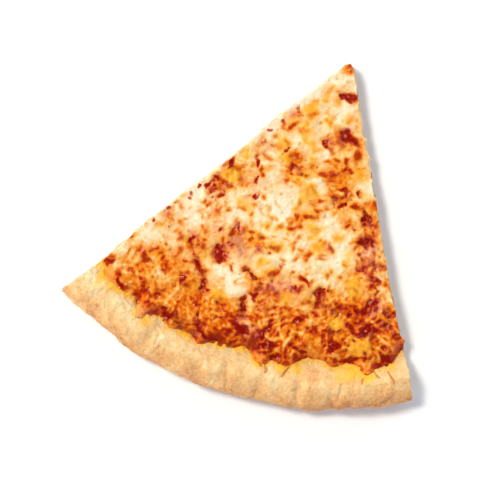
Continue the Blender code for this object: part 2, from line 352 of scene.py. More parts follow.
def polar(x, y):
    """The (r, v) of places given as x and y."""
    return np.hypot(x - APEX[0], y - APEX[1]), np.arctan2(x - APEX[0], APEX[1] - y) / HALF_ANGLE


def smooth_step(t):
    t = np.clip(t, 0.0, 1.0)
    return t * t * (3.0 - 2.0 * t)


def bell(away, width):
    """1 at no distance away, falling off over a width."""
    return np.exp(-((away / width) ** 2))


def soft_limit(value, most):
    """value, with what would go past most either way bent back to it."""
    return most * np.tanh(value / most)


def step_between(low, high, value):
    return smooth_step((value - low) / (high - low))


# ---- The slice's surfaces, for arrays of places ----

def waves(table, v):
    return sum(height * np.sin(turns * v + start) for height, turns, start in table)


def outer_radius(v):
    return RADIUS - RADIUS_SKEW * v + RADIUS_FLARE * v * v + waves(OUTER_WAVES, v)


def tip_radius(v):
    return TIP_SETBACK + TIP_ROUNDING * v * v


def cheese_reach(v):
    """How far from the apex the cheese ends."""
    reach = outer_radius(v) - BARE_RIM + waves(CHEESE_WAVES, v)
    for start, length in DRAWN_BACK:
        reach = reach - length * smooth_step((v - start) / (math.copysign(1.0, start) - start))
    for at, length, width in TONGUES:
        reach = reach + length * bell(v - at, width)
    return reach


def ragged_reach(v):
    """cheese_reach with the small uneven melts of its edge."""
    filled = NOTCH_FILL * bell(v - NOTCH_AT, NOTCH_WIDTH)
    return cheese_reach(v) + filled + RAG_HEIGHT * np.interp(v, RAG_V, RAG)


def place(r, v, inset=0.0):
    """The x and y of a place on the slice, drawn in from the cuts by inset at v of -1 and +1."""
    inset = inset + RIGHT_BOW * bell(r - BOW_AT, BOW_LENGTH) * (v > 0.0)
    width = r * HALF_ANGLE
    wobble = CUT_WOBBLE * np.sin(r / WOBBLE_LENGTH + 2.0 * v) * np.minimum(1.0, r / WOBBLE_FADE)
    angle = v * (width - inset) / r + np.abs(v) * v * wobble / r
    return APEX[0] + r * np.sin(angle), APEX[1] - r * np.cos(angle)


# The cheese's edge: its small melts, and how far they fill the deepest notch
RAG_POINTS = 160
RAG_SPREAD = 5
RAG_HEIGHT = 0.45 * MM
NOTCH_FILL = 2.0 * MM
NOTCH_AT = 0.41
NOTCH_WIDTH = 0.07
RAG_V = np.linspace(-1.0, 1.0, RAG_POINTS)
RAG_STEPS = RNG.standard_normal(RAG_POINTS + RAG_SPREAD - 1)
RAG = np.convolve(RAG_STEPS, np.ones(RAG_SPREAD) / RAG_SPREAD ** 0.5, "valid")
RIM_FIELD = lumps(16.0 * MM, 3.7)
BASE_FIELD = lumps(22.0 * MM, 9.1)
CHEESE_FIELD = lumps(9.0 * MM, 1.3)
GRID_R, GRID_V = polar(GX, GY)


def rim_crest_height(v, x, y):
    arc = outer_radius(v) * HALF_ANGLE
    height = RIM_HEIGHT + RIM_LUMP * sample(RIM_FIELD, x, y)
    for at, depth, width in CREASES:
        height = height - depth * bell((v - at) * arc, width)
    from_cut = (1.0 - np.abs(v)) * arc
    return height * (1.0 - END_PINCH * (1.0 - smooth_step(from_cut / END_PINCH_REACH)))


def base_top(r, x, y):
    level = BASE_AT_TIP + (BASE_AT_RIM - BASE_AT_TIP) * r / (RADIUS - RIM_WIDTH)
    return level + 0.25 * MM * sample(BASE_FIELD, x, y)


def crust_top(r, v, x, y):
    """The baked top: the flat base, and the rim's slope, crest and outer flank."""
    inside = outer_radius(v) - r
    base = base_top(r, x, y)
    crest = rim_crest_height(v, x, y)
    flank = WAIST + (crest - WAIST) * np.sqrt(np.clip(1.0 - (1.0 - inside / RIM_CREST) ** 2, 0.0, 1.0))
    slope = 0.5 + 0.5 * np.cos(math.pi * np.clip((inside - RIM_CREST) / (RIM_WIDTH - RIM_CREST), 0.0, 1.0))
    return np.where(inside < RIM_CREST, flank, base + (crest - base) * slope)


def crust_bottom(r, v, x, y):
    inside = np.clip(outer_radius(v) - r, 0.0, UNDER_EDGE)
    return WAIST * (1.0 - np.sqrt(np.clip(1.0 - (1.0 - inside / UNDER_EDGE) ** 2, 0.0, 1.0)))


# ---- Fields of the topping ----

WARP_X = 0.8 * MM * grain(1.4 * MM) + 0.22 * MM * grain(0.5 * MM)
WARP_Y = 0.8 * MM * grain(1.4 * MM) + 0.22 * MM * grain(0.5 * MM)


def oval(r, v, length, width, turn, soft):
    """1 inside an oval with a ragged, soft edge and 0 outside it."""
    x, y = place(r, v)
    spin = math.radians(turn) + v * HALF_ANGLE
    dx, dy = GX + WARP_X - x, GY + WARP_Y - y
    across = dx * math.cos(spin) + dy * math.sin(spin)
    along = dy * math.cos(spin) - dx * math.sin(spin)
    distance = np.hypot(across / (0.5 * width), along / (0.5 * length))
    return 1.0 - step_between(1.0 - soft, 1.0 + soft, distance)


def region(table, soft):
    """The strongest of a table's ovals at each place."""
    made = np.zeros(GX.shape)
    for r, v, length, width, turn, strength in table:
        made = np.maximum(made, strength * oval(r, v, length, width, turn, soft))
    return made


def cells_near(low, high):
    """The slices of the grid's cells that hold a box."""
    x0, y0 = np.maximum(np.floor((low - (GRID_X[0], GRID_Y[0])) / CELL).astype(int), 0)
    x1, y1 = np.ceil((high - (GRID_X[0], GRID_Y[0])) / CELL).astype(int) + 1
    return slice(y0, max(y0, min(y1, len(GRID_Y)))), slice(x0, max(x0, min(x1, len(GRID_X))))


def lay_strand(pile, x, y, heading, bend, length, radius):
    """Lays one rounded strand over pile, which sinks under it. bend is the turn in radians per metre."""
    step = 0.5 * radius
    path = []
    for _ in range(int(length / step) + 1):
        path.append((x, y))
        x += step * math.cos(heading)
        y += step * math.sin(heading)
        heading += bend * step
    path = np.array(path)
    near = cells_near(path.min(0) - radius, path.max(0) + radius)
    cells = np.stack([GX[near], GY[near]], -1)
    if cells.size == 0:
        return
    distance = np.sqrt(((cells[:, :, None, :] - path) ** 2).sum(-1)).min(-1)
    rounded = np.sqrt(np.clip(1.0 - (distance / radius) ** 2, 0.0, 1.0))
    pile[near] = pile[near] * (1.0 - 0.6 * np.minimum(1.0, 3.0 * rounded)) + radius * rounded


NEAREST = 3.0 * MM
STRANDS_TO = 143.0 * MM
SPOTS_TO = 140.0 * MM
WIDEST_V = 1.03
STRAND_BEND = 110.0  # radians per metre
SPOT_HEADING = 0.36  # radians: most spots lie across the slice


def anywhere(furthest):
    """A random place on the slice, evenly spread."""
    r = max(NEAREST, math.sqrt(RNG.uniform(0.0, 1.0)) * furthest)
    v = RNG.uniform(-WIDEST_V, WIDEST_V)
    return r, v


def pile_of_strands(count, length_range, width_range):
    """The height of strands dropped at random on each other, in metres."""
    pile = np.zeros(GX.shape)
    for _ in range(count):
        x, y = place(*anywhere(STRANDS_TO))
        lay_strand(pile, x, y, RNG.uniform(0.0, 2.0 * math.pi), RNG.normal(0.0, STRAND_BEND),
                   RNG.uniform(*length_range), 0.5 * RNG.uniform(*width_range))
    return pile


def swirl(pile, r, v, radii, radius):
    """Adds arcs of strand round one place."""
    x, y = place(r, v)
    for ring in radii:
        start = RNG.uniform(0.0, 2.0 * math.pi)
        reach = ring * RNG.uniform(2.4, 5.0)
        at_x, at_y = x + ring * math.cos(start), y + ring * math.sin(start)
        lay_strand(pile, at_x, at_y, start + 0.5 * math.pi, 1.0 / ring, reach, radius)


def scatter_spots(count, smallest, largest, skirt):
    """Soft spots dropped at random: their middles, and wider skirts round them."""
    middles = np.zeros(GX.shape)
    skirts = np.zeros(GX.shape)
    for _ in range(count):
        x, y = place(*anywhere(SPOTS_TO))
        size = RNG.uniform(smallest, largest)
        stretch = RNG.uniform(1.0, 1.9)
        spin = RNG.normal(SPOT_HEADING, 0.6)
        strength = RNG.uniform(0.4, 1.0)
        reach = 2.4 * stretch * skirt * size
        near = cells_near(np.array((x - reach, y - reach)), np.array((x + reach, y + reach)))
        dx, dy = GX[near] + 0.7 * WARP_X[near] - x, GY[near] + 0.7 * WARP_Y[near] - y
        along = (dx * math.cos(spin) + dy * math.sin(spin)) / stretch
        across = dy * math.cos(spin) - dx * math.sin(spin)
        distance = (along ** 2 + across ** 2) / size ** 2
        middles[near] = np.maximum(middles[near], strength * np.exp(-distance ** 1.5))
        skirts[near] = np.maximum(skirts[near], strength * np.exp(-distance / skirt ** 2))
    return middles, skirts


SHREDS = pile_of_strands(1500, (6.0 * MM, 17.0 * MM), (1.8 * MM, 3.0 * MM))
MELTED = blur(SHREDS, 0.5 * MM) - blur(SHREDS, 4.0 * MM)
MELTED = soft_limit(MELTED / MELTED.std(), 1.9)
FIBRES = pile_of_strands(1700, (4.0 * MM, 14.0 * MM), (0.8 * MM, 1.4 * MM))
for swirl_r, swirl_v in SWIRLS:
    swirl(FIBRES, swirl_r, swirl_v, np.linspace(1.6 * MM, 7.5 * MM, 9), 0.45 * MM)
FIBRES = blur(FIBRES, 0.28 * MM) - blur(FIBRES, 1.6 * MM)
FIBRES = soft_limit(FIBRES / FIBRES.std(), 2.2)
SPOT_MIDDLES, SPOT_SKIRTS = scatter_spots(400, 0.7 * MM, 1.45 * MM, 1.7)
DOTS, _ = scatter_spots(260, 0.35 * MM, 0.65 * MM, 1.5)
FRECKLES, _ = scatter_spots(420, 0.30 * MM, 0.55 * MM, 1.5)
CURDS = curds(1.7 * MM)
FINE = grain(0.4 * MM)
MEDIUM = grain(0.9 * MM)
COARSE = grain(2.6 * MM)
CLEAR = step_between(0.5, 1.6, grain(2.2 * MM))

WINDOWS = region(SAUCE_WINDOWS, 0.95)
WINDOWS += (0.20 * MEDIUM - 0.12 * FIBRES + 0.09 * FINE) * np.minimum(1.0, 3.0 * WINDOWS)
WINDOWS = step_between(0.42, 0.78, WINDOWS)
NEAR_WINDOWS = np.clip(2.0 * blur(region(SAUCE_WINDOWS, 0.60), 1.3 * MM), 0.0, 1.0)
STAINS = region(STAINED, 0.55)
BROWN_REGIONS = region(BROWNED, 0.55)
PALE_REGIONS = region(PALE, 0.65)
BUMPS = region([(r, v, size, size, 0, 1.0) for r, v, size, _ in BLISTERS], 0.95)
BUMP_BROWN = region([(r, v, 0.65 * size, 0.5 * size, 70, brown) for r, v, size, brown in BLISTERS], 0.9)
CLOSE_V = np.clip(GRID_V, -1.0, 1.0)
FROM_EDGE = ragged_reach(CLOSE_V) - GRID_R
FROM_CUT = (1.0 - np.abs(CLOSE_V)) * GRID_R * HALF_ANGLE
# The pale edge along the left cut, broken where that edge is browned
FRINGE = bell(FROM_CUT, 2.8 * MM) * (GRID_V < 0.0) * step_between(8.0 * MM, 14.0 * MM, GRID_R)
FRINGE *= 1.0 - bell(GRID_R - 66.0 * MM, 10.0 * MM)
FRINGE *= step_between(118.0 * MM, 108.0 * MM, GRID_R)
CUT_DOTS = region(EDGE_DOTS, 0.5)


def cheese_relief():
    """The height of the melted shreds above or below the cheese's own level, in metres."""
    height = (0.20 + 0.16 * BROWN_REGIONS) * MM * MELTED
    height += (0.02 + 0.09 * BROWN_REGIONS) * MM * FIBRES
    height += (0.05 + 0.04 * BROWN_REGIONS) * MM * CURDS + 0.05 * MM * MEDIUM + 0.04 * MM * FINE
    height += 0.40 * MM * BUMPS + 0.35 * MM * CHEESE_FIELD
    height += 0.12 * MM * SPOT_MIDDLES - 0.30 * MM * STAINS
    return soft_limit(height, 0.85 * MM)


RELIEF = cheese_relief()
LEVEL = RELIEF / RELIEF.std()


def brown_field():
    """How browned the cheese is, from 0, cream, to 1, dark."""
    brown = 0.13 + 0.27 * BROWN_REGIONS - 0.11 * PALE_REGIONS + 0.05 * COARSE
    brown += 0.07 * bell(GRID_R - 102.0 * MM, 11.0 * MM)
    brown -= 0.13 * FRINGE
    # The colour follows the shreds' height: paler on the raised shreds, darker in the hollows between them.
    melted = 0.9 * LEVEL - 0.5 * MEDIUM + 0.5 * CURDS + 0.5 * FINE
    fibrous = 0.8 * LEVEL + 1.2 * FIBRES - 0.6 * MEDIUM + 0.3 * CURDS + 0.5 * FINE
    brown -= 0.020 * (1.0 - BROWN_REGIONS) * melted + 0.062 * BROWN_REGIONS * fibrous
    strength = 1.15 - 0.45 * PALE_REGIONS - 0.45 * BROWN_REGIONS
    strength *= (1.0 - 0.6 * FRINGE) * (0.6 + 0.4 * step_between(24.0 * MM, 40.0 * MM, GRID_R))
    brown += strength * (0.50 * SPOT_MIDDLES + 0.17 * SPOT_SKIRTS + 0.40 * DOTS)
    brown += 0.62 * BUMP_BROWN * (1.0 + 0.15 * MEDIUM)
    edge = np.interp(GRID_V, EDGE_BROWN_V, EDGE_BROWN)
    brown += edge * bell(FROM_EDGE - 1.0 * MM, 2.4 * MM)
    brown += 0.30 * step_between(9.0 * MM, 5.0 * MM, GRID_R)
    brown += (0.30 * STAINS + 0.28 * NEAR_WINDOWS) * (1.0 + 0.25 * MEDIUM - 0.15 * CURDS)
    for ring_r, ring_v, radius in BROWN_RINGS:
        x, y = place(ring_r, ring_v)
        away = np.hypot(GX + WARP_X - x, GY + WARP_Y - y)
        brown += 0.22 * bell(away - radius, 1.3 * MM) * (1.0 + 0.4 * MEDIUM)
    return np.clip(brown, 0.0, 0.74 + 0.26 * np.clip(BROWN_REGIONS, 0.0, 1.0))


def red_field():
    """How much sauce shows through, from 0 to 1."""
    thin = step_between(1.5, 2.8, -0.8 * LEVEL - 0.7 * FIBRES * BROWN_REGIONS + 0.5 * grain(1.3 * MM))
    patches = step_between(0.45, 0.80, STAINS + 0.12 * MEDIUM - 0.09 * FIBRES + 0.08 * FINE)
    red = np.maximum.reduce((
        thin * (0.60 + 0.10 * BROWN_REGIONS - 0.25 * PALE_REGIONS),
        FRECKLES * step_between(-0.6, 1.0, COARSE) * (0.75 - 0.2 * PALE_REGIONS),
        0.92 * patches,
        STAINS * (0.50 + 0.12 * MEDIUM - 0.10 * CURDS),
        NEAR_WINDOWS * (0.52 + 0.12 * MEDIUM - 0.12 * CURDS),
        WINDOWS * (0.85 + 0.13 * CURDS + 0.08 * FINE),
        (0.66 + 0.15 * FINE) * CUT_DOTS,
    ))
    return np.clip(red, 0.0, 1.0)


BROWN = brown_field()
RED = red_field()
PINK = FRINGE * (0.45 + 0.30 * MEDIUM)
JUICE = np.clip(0.36 + 0.3 * MEDIUM + 0.2 * COARSE, 0.0, 0.8) * (1.0 - SPOT_SKIRTS) ** 2
PINK = np.maximum(PINK, region(PINKISH, 0.8) * JUICE)
GOLD = 0.78 * BUMPS * (1.0 + 0.20 * MEDIUM) - 0.9 * BUMP_BROWN
GOLDEN_SPOTS = (1.2 * SPOT_SKIRTS - 1.1 * SPOT_MIDDLES) * step_between(0.0, 1.2, grain(2.4 * MM))
GOLD = np.clip(np.maximum(GOLD, GOLDEN_SPOTS * (1.0 - 0.8 * BROWN_REGIONS)), 0.0, 0.9)
CLEAR_SHARE = CLEAR * (0.12 + 0.65 * PALE_REGIONS) * (1.0 - BROWN_REGIONS) * (1.0 - SPOT_SKIRTS)
CLEAR_SHARE = np.clip(CLEAR_SHARE, 0.0, 1.0)
BAKED = 1.1 * BROWN_REGIONS + 1.0 * SPOT_SKIRTS + 0.8 * BUMPS - 0.2 * PALE_REGIONS + 0.1 * COARSE
# Paler on the raised strands of the browned zones.
BAKED = np.clip(BAKED - 0.35 * BROWN_REGIONS * np.clip(FIBRES + 0.4 * LEVEL - 0.4, 0.0, 2.0), 0.0, 1.0)
OILY = np.clip(0.16 + 0.15 * COARSE + 0.6 * BROWN_REGIONS + 0.25 * SPOT_SKIRTS, 0.0, 1.0)


# ---- Meshes ----

CHEESE_ROWS = 325
CHEESE_STEP = 0.42 * MM
SAUCE_ROWS = 200
SAUCE_STEP = 0.75 * MM
SAUCE_SHORT = 1.2 * MM  # how far the sauce ends inside the cheese
SAUCE_SINK = 0.15 * MM  # how far the sauce reaches down into the crust
CHEESE_GAP = 0.15 * MM  # between the crust and the cheese's edge
CHEESE_LIFT = 0.2 * MM  # more room for the sauce under the cheese
BASE_ROWS = 240
RIM_ROWS = 34
CRUST_STEP = 0.5 * MM
FINE_UNDER_ROWS = 24
FOOT = 3.0 * MM  # how far inside the rim its fine rows start
LEAST_COLUMNS = 4


def sauce_top(r, v, x, y):
    from_lip = smooth_step((cheese_reach(v) - 1.5 * MM - r) / LIP_REACH)
    relief = 0.16 * MM * sample(MEDIUM, x, y) + 0.07 * MM * sample(FINE, x, y)
    relief = relief + 0.9 * MM * sample(NEAR_WINDOWS, x, y)
    return crust_top(r, v, x, y) + SAUCE_LIP + (SAUCE - SAUCE_LIP + relief) * from_lip


def sauce_bottom(r, v, x, y):
    return crust_top(r, v, x, y) - SAUCE_SINK


def cheese_level(r, v, x, y):
    """The underside of the cheese if it lay flat on the sauce."""
    from_lip = smooth_step((ragged_reach(v) - r) / LIP_REACH)
    return crust_top(r, v, x, y) + CHEESE_GAP + (SAUCE + CHEESE_LIFT) * from_lip


def cheese_top(r, v, x, y):
    inside = ragged_reach(v) - r
    from_lip = smooth_step(inside / LIP_REACH)
    lip = 0.15 + 0.85 * smooth_step(inside / (2.2 * MM))
    thickness = lip * (CHEESE_LIP + (CHEESE - CHEESE_LIP) * from_lip)
    relief = sample(RELIEF, x, y) * (0.35 + 0.65 * from_lip) * smooth_step(inside / (1.2 * MM))
    thickness = thickness * (1.0 - 0.35 * sample(NEAR_WINDOWS, x, y))
    open_to_sauce = sample(WINDOWS, x, y)
    pulp = (0.55 + 0.16 * sample(MEDIUM, x, y) + 0.12 * sample(FINE, x, y)) * MM
    return cheese_level(r, v, x, y) + (thickness + relief) * (1.0 - open_to_sauce) + pulp * open_to_sauce


def cheese_bottom(r, v, x, y):
    return np.minimum(cheese_level(r, v, x, y) - 0.6 * MM, cheese_top(r, v, x, y) - 0.3 * MM)


def rows_between(near, far, count):
    """Rows at even steps between two rows, each a function of v."""
    return [lambda v, s=i / count: (1.0 - s) * near(v) + s * far(v) for i in range(count)]


def zip_rows(first_v, first, second_v, second):
    """The triangles between two rows of points that may hold different numbers of them."""
    triangles = []
    i, j = 0, 0
    while i + 1 < len(first) or j + 1 < len(second):
        next_first = first_v[i + 1] if i + 1 < len(first) else math.inf
        next_second = second_v[j + 1] if j + 1 < len(second) else math.inf
        if next_first <= next_second:
            triangles.append((first[i], second[j], first[i + 1]))
            i += 1
        else:
            triangles.append((first[i], second[j], second[j + 1]))
            j += 1
    return triangles


def sheet(rows, columns, height, inset, points, triangles):
    """Adds a sheet of points at height over the rows. Returns each row's point numbers."""
    made = []
    for row, count in zip(rows, columns):
        v = np.linspace(-1.0, 1.0, count + 1)
        r = row(v)
        x, y = place(r, v, inset)
        start = len(points)
        points.extend(np.stack([x, y, height(r, v, x, y)], 1))
        made.append((v, list(range(start, start + count + 1))))
    for (v0, first), (v1, second) in zip(made, made[1:]):
        triangles.extend(zip_rows(v0, first, v1, second))
    return [numbers for _, numbers in made]


def ring_of(rows):
    """The point numbers once round the outside of a sheet."""
    left = [row[0] for row in rows]
    right = [row[-1] for row in rows]
    return left + rows[-1][1:-1] + right[::-1] + rows[0][-2:0:-1]


def slab(name, rows, top_columns, bottom_columns, top, bottom, inset, levels, push):
    """A closed mesh between two heights. push(point, share) gives how far a wall stands out at that place."""
    bottom_columns = [top_columns[0], *bottom_columns[1:-1], top_columns[-1]]
    points = []
    triangles = []
    lower = ring_of(sheet(rows, bottom_columns, bottom, inset, points, triangles))
    upper = ring_of(sheet(rows, top_columns, top, inset, points, triangles))
    columns = []
    for under, over in zip(lower, upper):
        low, high = points[under], points[over]
        side = math.copysign(1.0, low[0] - APEX[0])
        angle = side * HALF_ANGLE
        out = np.array([side * math.cos(angle), side * math.sin(angle), 0.0])
        column = [under]
        for k in range(1, levels):
            share = k / levels
            middle = low + (high - low) * share
            column.append(len(points))
            points.append(middle + out * push(middle, share) * min(1.0, (high - low)[2] / (1.0 * MM)))
        columns.append(column + [over])
    for i, column in enumerate(columns):
        following = columns[(i + 1) % len(columns)]
        for k in range(levels):
            triangles.append((column[k], following[k], following[k + 1]))
            triangles.append((column[k], following[k + 1], column[k + 1]))
    return mesh_object(name, np.array(points), np.array(triangles))


def mesh_object(name, points, triangles):
    """A mesh with points at the same place made one and collapsed faces dropped."""
    _, first, number = np.unique(np.round(points / 1e-7).astype(np.int64), axis=0, return_index=True,
                                 return_inverse=True)
    triangles = number.reshape(-1)[triangles]
    whole = (triangles[:, 0] != triangles[:, 1]) & (triangles[:, 1] != triangles[:, 2])
    whole &= triangles[:, 0] != triangles[:, 2]
    data = bpy.data.meshes.new(name)
    data.from_pydata(points[first].tolist(), [], triangles[whole].tolist())
    mesh = bmesh.new()
    mesh.from_mesh(data)
    return object_from(data, mesh)


def object_from(data, mesh):
    """An object that shows data, filled from a bmesh with its faces turned out."""
    bmesh.ops.recalc_face_normals(mesh, faces=mesh.faces)
    mesh.to_mesh(data)
    mesh.free()
    data.shade_smooth()
    return add_to_scene(data.name, data)


def add_to_scene(name, data):
    obj = bpy.data.objects.new(name, data)
    bpy.context.scene.collection.objects.link(obj)
    return obj


def of_points(data, what):
    """The positions, "co", or the directions, "normal", of a mesh's points."""
    found = np.empty(len(data.vertices) * 3)
    data.vertices.foreach_get(what, found)
    return found.reshape(-1, 3)


def store(data, name, values):
    attribute = data.attributes.new(name, "FLOAT", "POINT")
    attribute.data.foreach_set("value", np.asarray(values, np.float32))


def columns_for(rows, step):
    """Enough columns that each row's are a step apart."""
    widths = [2.0 * float(row(np.zeros(1))[0]) * HALF_ANGLE for row in rows]
    return [max(LEAST_COLUMNS, round(width / step)) for width in widths]


def coarser(columns, times):
    return [max(LEAST_COLUMNS, count // times) for count in columns]


CUT_BROWN = 0.12  # how browned the cheese is down its cut sides


def make_cheese():
    rows = [*rows_between(tip_radius, ragged_reach, CHEESE_ROWS), ragged_reach]
    columns = columns_for(rows, CHEESE_STEP)

    def push(point, share):
        rag = 0.36 * MM * sample(MEDIUM, point[0:1] + 0.3 * point[2], point[1:2])[0]
        sag = 0.26 * MM * sample(COARSE, point[0:1], point[1:2])[0]
        return (0.25 * MM + rag + sag) * math.sin(math.pi * share)

    under = coarser(columns, 12)
    obj = slab("melted_cheese", rows, columns, under, cheese_top, cheese_bottom, LAYER_INSET, 4, push)
    x, y, z = of_points(obj.data, "co").T
    r, v = polar(x, y)
    v = np.clip(v, -1.0, 1.0)
    near_top = 1.0 - step_between(0.4 * MM, 1.6 * MM, cheese_top(r, v, x, y) - z)
    store(obj.data, "brown", CUT_BROWN + (sample(BROWN, x, y) - CUT_BROWN) * near_top)
    fields = {"red": RED, "baked": BAKED, "gold": GOLD, "pink": PINK, "oily": OILY, "clear": CLEAR_SHARE}
    for name, field in fields.items():
        store(obj.data, name, sample(field, x, y) * near_top)
    return obj


def make_sauce():
    def reach(v):
        return cheese_reach(v) - SAUCE_SHORT

    rows = [*rows_between(tip_radius, reach, SAUCE_ROWS), reach]
    columns = columns_for(rows, SAUCE_STEP)

    def push(point, share):
        ooze = 0.22 * MM * sample(COARSE, point[0:1], point[1:2])[0]
        return (0.05 * MM + ooze) * math.sin(math.pi * share)

    under = coarser(columns, 8)
    return slab("tomato_sauce", rows, columns, under, sauce_top, sauce_bottom, LAYER_INSET, 3, push)


def make_crust():
    def rim_foot(v):
        return outer_radius(v) - RIM_WIDTH - FOOT

    rows = rows_between(tip_radius, rim_foot, BASE_ROWS)
    to_crest = np.linspace(RIM_WIDTH + FOOT, RIM_CREST, RIM_ROWS)[:-1]
    past_crest = RIM_CREST * (1.0 - np.sin(0.5 * math.pi * np.linspace(0.0, 1.0, RIM_ROWS)))
    for depth in (*to_crest, *past_crest):
        rows.append(lambda v, d=depth: outer_radius(v) - d)
    fine = columns_for(rows, CRUST_STEP)
    hidden = coarser(fine, 8)
    top_columns = hidden[:BASE_ROWS] + fine[BASE_ROWS:]
    bottom_columns = hidden[:-FINE_UNDER_ROWS] + coarser(fine[-FINE_UNDER_ROWS:], 2)

    def push(point, share):
        pores = noise.noise(Vector(point) / (1.1 * MM)) + 0.7 * noise.noise(Vector(point) / (2.6 * MM))
        return -0.40 * MM * max(0.0, pores) * math.sin(math.pi * share) ** 0.5

    obj = slab("baked_crust", rows, top_columns, bottom_columns, crust_top, crust_bottom, 0.0, 9, push)
    roughen_crust(obj)
    paint_crust(obj)
    return obj


def crust_skin(point):
    """How far the baked skin stands out or in: soft folds, blisters and small pits."""
    folds = 0.90 * MM * noise.noise(point / (5.0 * MM))
    wrinkles = 0.45 * MM * noise.noise(point / (2.0 * MM) + Vector((3.0, 0.0, 0.0)))
    grit = 0.17 * MM * noise.noise(point / (0.9 * MM) + Vector((0.0, 5.0, 0.0)))
    pit = noise.noise(point / (3.4 * MM) + Vector((0.0, 0.0, 8.0)))
    return folds + wrinkles + grit - 0.9 * MM * max(0.0, pit - 0.42)


def grooves(at):
    """How deep the short sharp creases of the rim are at each point."""
    r, v = polar(at[:, 0], at[:, 1])
    depth = np.zeros(len(at))
    for groove_v, slant, near, far, deep in GROOVES:
        share = (r - near) / (far - near)
        away = (v - groove_v - slant * (share - 0.5)) * r * HALF_ANGLE
        ends = step_between(0.0, 0.25, share) * step_between(1.0, 0.8, share)
        depth += deep * ends * bell(away, GROOVE_WIDTH)
    return depth


def roughen_crust(obj):
    """Moves the skin of the rim, and leaves the flat underside flat."""
    at = of_points(obj.data, "co")
    shift = np.array([crust_skin(Vector(point)) if point[2] > 0.3 * MM else 0.0 for point in at])
    shift -= grooves(at) * step_between(3.0 * MM, 6.0 * MM, at[:, 2])
    at += of_points(obj.data, "normal") * shift[:, None]
    at[:, 2] = np.maximum(at[:, 2], 0.0)
    obj.data.vertices.foreach_set("co", at.ravel())
    obj.data.update()


def paint_crust(obj):
    """Stores how toasted the crust is at each point, with painted shade near the floor, how oily it is, and
    where the cut shows its crumb.
    """
    at = of_points(obj.data, "co")
    x, y, z = at.T
    r, v = polar(x, y)
    v = np.clip(v, -1.0, 1.0)
    outer = 1.0 - step_between(0.0, 11.0 * MM, outer_radius(v) - r)
    under = 1.0 - step_between(0.0, 3.0 * MM, z)
    # Darker towards the outer edge and towards the floor: partly real toasting, partly painted shade where
    # the rim's foot meets the floor.
    toast_and_shade = 0.31 + 0.08 * v + 0.38 * outer + 0.35 * under
    for size, amount in ((8.0 * MM, 0.26), (2.8 * MM, 0.15), (1.2 * MM, 0.14)):
        toast_and_shade += amount * np.array([noise.noise(Vector(point) / size) for point in at])
    past_cheese = r - ragged_reach(v)
    rag = 0.5 * MM * sample(COARSE, x, y) + 0.4 * MM * sample(MEDIUM, x, y)
    reach = np.interp(v, OIL_V, OIL_REACH)
    oil = np.interp(v, OIL_V, OIL_DEPTH) * (1.0 - smooth_step((past_cheese + rag) / reach))
    oil = np.maximum(oil, 0.85 * sample(region(OIL_STAINS, 0.6), x, y))
    normals = of_points(obj.data, "normal")
    facing_cut = np.sign(v) * math.cos(HALF_ANGLE) * normals[:, 0] + math.sin(HALF_ANGLE) * normals[:, 1]
    from_cut = (1.0 - np.abs(v)) * r * HALF_ANGLE
    crumb = step_between(0.35, 0.70, facing_cut) * step_between(5.0 * MM, 3.0 * MM, from_cut)
    crumb *= step_between(0.5 * MM, 1.2 * MM, z)
    crumb *= step_between(0.2 * MM, 1.0 * MM, crust_top(r, v, x, y) - z)
    oil *= step_between(-2.5 * MM, -0.8 * MM, past_cheese) * step_between(0.3, 0.6, normals[:, 2])
    store(obj.data, "toast_and_shade", np.clip(toast_and_shade, 0.0, 1.0))
    store(obj.data, "oil", np.clip(oil, 0.0, 1.0))
    store(obj.data, "crumb", crumb)


def surface_point(r, v, lift):
    r, v = np.array([r]), np.array([v])
    x, y = place(r, v)
    return Vector((x[0], y[0], crust_top(r, v, x, y)[0] + lift))


TUBE_SIDES = 7
STRING_STEPS = 12
HERB_FLECKS = 12
HERBS_TO = 128.0 * MM


def add_tube(mesh, path, radius):
    """Adds a closed tube along a path, thinner at its ends."""
    rings = []
    for i, centre in enumerate(path):
        ahead = path[min(i + 1, len(path) - 1)] - path[max(i - 1, 0)]
        side = ahead.cross(Vector((0.0, 0.0, 1.0))).normalized()
        up = side.cross(ahead).normalized()
        share = i / (len(path) - 1)
        thick = radius * (0.35 + 0.65 * math.sin(math.pi * share) ** 0.5)
        ring = []
        for k in range(TUBE_SIDES):
            turn = 2.0 * math.pi * k / TUBE_SIDES
            ring.append(mesh.verts.new(centre + thick * (side * math.cos(turn) + up * math.sin(turn))))
        rings.append(ring)
    for first, second in zip(rings, rings[1:]):
        for k in range(TUBE_SIDES):
            following = (k + 1) % TUBE_SIDES
            mesh.faces.new((first[k], first[following], second[following], second[k]))
    mesh.faces.new(rings[0][::-1])
    mesh.faces.new(rings[-1])


def make_strings():
    mesh = bmesh.new()
    for (r0, v0), (r1, v1) in STRINGS:
        radius = RNG.uniform(0.38, 0.55) * MM
        bow = RNG.uniform(-0.010, 0.010)
        path = []
        for i in range(STRING_STEPS + 1):
            share = i / STRING_STEPS
            v = v0 + (v1 - v0) * share + bow * math.sin(math.pi * share)
            path.append(surface_point(r0 + (r1 - r0) * share, v, 0.4 * radius))
        add_tube(mesh, path, radius)
    return object_from(bpy.data.meshes.new("browned_strings"), mesh)


